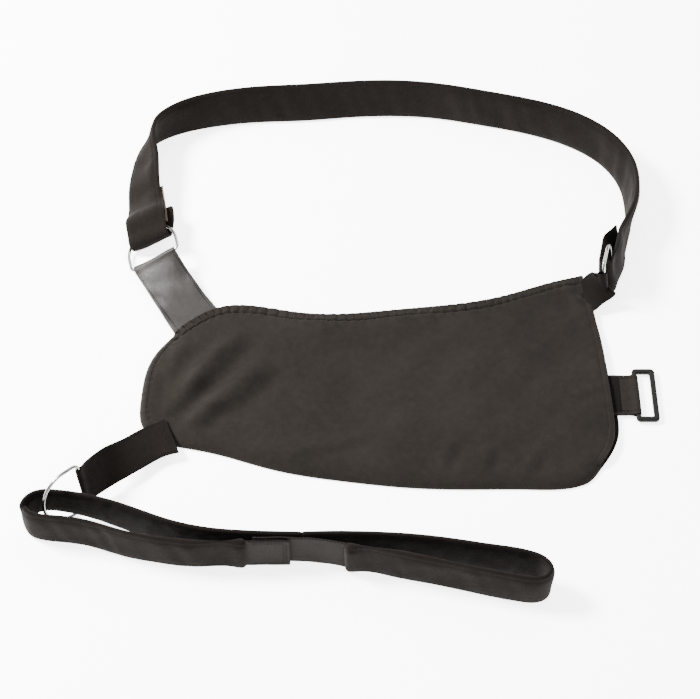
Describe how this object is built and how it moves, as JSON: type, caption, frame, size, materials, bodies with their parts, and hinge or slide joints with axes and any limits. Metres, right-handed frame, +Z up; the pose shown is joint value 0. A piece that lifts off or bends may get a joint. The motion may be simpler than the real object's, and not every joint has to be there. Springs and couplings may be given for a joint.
{
  "type": "arm sling",
  "caption": "Forearm sling: flat cloth pouch with a padded shoulder strap on D-rings, a padded waist strap on a third D-ring and a rectangular loop at the hand end.",
  "frame": {"origin": "on the underside of the pouch, near its middle, in the plane the sling lies on", "axes": "+X from the elbow end to the hand end, +Y from the folded bottom to the mouth, +Z up out of the pouch's front layer"},
  "size_m": [0.5726, 0.5968, 0.0561],
  "materials": {
    "pouch_cloth": "dark grey-brown twill, hemmed, matt",
    "tab_satin": "mid grey satin-faced webbing",
    "strap_loop_fabric": "near-black brushed loop fabric over foam",
    "webbing": "black woven webbing",
    "hook_tape": "black hook tape with a beige edge",
    "foam": "soft grey foam",
    "ring_steel": "bright nickel-plated wire",
    "buckle_plastic": "black moulded plastic"
  },
  "bodies": {
    "pouch": {"pouch_back_panel": "pouch_cloth", "pouch_front_panel": "pouch_cloth", "pouch_bottom_fold": "pouch_cloth", "elbow_seam": "pouch_cloth", "elbow_binding": "pouch_cloth", "mouth_hem_back": "pouch_cloth", "shoulder_tab_left_root": "tab_satin", "shoulder_tab_right_root": "webbing", "waist_tab_root": "webbing", "buckle_tab": "webbing"},
    "front_flap": {"pouch_front_flap": "pouch_cloth", "mouth_hem_front": "pouch_cloth", "hand_hem": "pouch_cloth"},
    "neck_loop": {"shoulder_tab_left": "tab_satin", "shoulder_tab_right": "webbing", "shoulder_sleeve": "strap_loop_fabric", "shoulder_foam": "foam", "shoulder_tail_left": "strap_loop_fabric", "shoulder_tail_right": "strap_loop_fabric", "hook_tape_left": "hook_tape", "hook_tape_right": "hook_tape"},
    "ring_left": {"shoulder_d_ring_left": "ring_steel"},
    "ring_right": {"shoulder_d_ring_right": "ring_steel"},
    "waist_tab_end": {"waist_tab": "webbing"},
    "waist_ring": {"waist_d_ring": "ring_steel"},
    "waist_strap": {"waist_left_sleeve": "strap_loop_fabric", "waist_left_foam": "foam", "waist_right_sleeve": "strap_loop_fabric", "waist_right_foam": "foam", "waist_loop_end": "strap_loop_fabric"},
    "waist_hook": {"waist_hook_end": "strap_loop_fabric", "waist_hook_patch": "hook_tape"},
    "buckle": {"buckle_loop": "buckle_plastic"}
  },
  "joints": [
    {"name": "mouth_opening", "type": "hinge", "parent": "pouch", "child": "front_flap", "pos_m": [-0.168, 0.014, 0.0078], "axis": [0.9058, -0.4238, 0], "range_deg": [0, 40]},
    {"name": "neck_fold", "type": "hinge", "parent": "pouch", "child": "neck_loop", "pos_m": [-0.165, 0.004, 0.005], "axis": [0.9974, 0.0714, 0], "range_deg": [0, 100]},
    {"name": "ring_left_swing", "type": "hinge", "parent": "neck_loop", "child": "ring_left", "pos_m": [-0.19, 0.098, 0.0168], "axis": [0.8681, 0.222, 0.444], "range_deg": [-3.5, 3.5]},
    {"name": "ring_right_swing", "type": "hinge", "parent": "neck_loop", "child": "ring_right", "pos_m": [0.244, 0.058, 0.0284], "axis": [0.1401, -0.035, -0.9895], "range_deg": [-3.5, 1.5]},
    {"name": "waist_tab_fold", "type": "hinge", "parent": "pouch", "child": "waist_tab_end", "pos_m": [-0.18, -0.122, 0.0155], "axis": [-1, 0, 0], "range_deg": [0, 110]},
    {"name": "waist_ring_swing", "type": "hinge", "parent": "waist_tab_end", "child": "waist_ring", "pos_m": [-0.236, -0.174, 0.0282], "axis": [-0.1004, 0.1505, 0.9835], "range_deg": [-5, 5]},
    {"name": "waist_strap_swivel", "type": "hinge", "parent": "waist_ring", "child": "waist_strap", "pos_m": [-0.26576, -0.19996, 0.02914], "axis": [0, 0, 1], "range_deg": [-60, 3]},
    {"name": "waist_hook_peel", "type": "hinge", "parent": "waist_strap", "child": "waist_hook", "pos_m": [-0.0892, -0.2386, 0.02], "axis": [0, 0, -1], "range_deg": [0, 60]},
    {"name": "buckle_swing", "type": "hinge", "parent": "pouch", "child": "buckle", "pos_m": [0.2662, -0.057, 0.0037], "axis": [0, -1, 0], "range_deg": [-75, 75]}
  ]
}
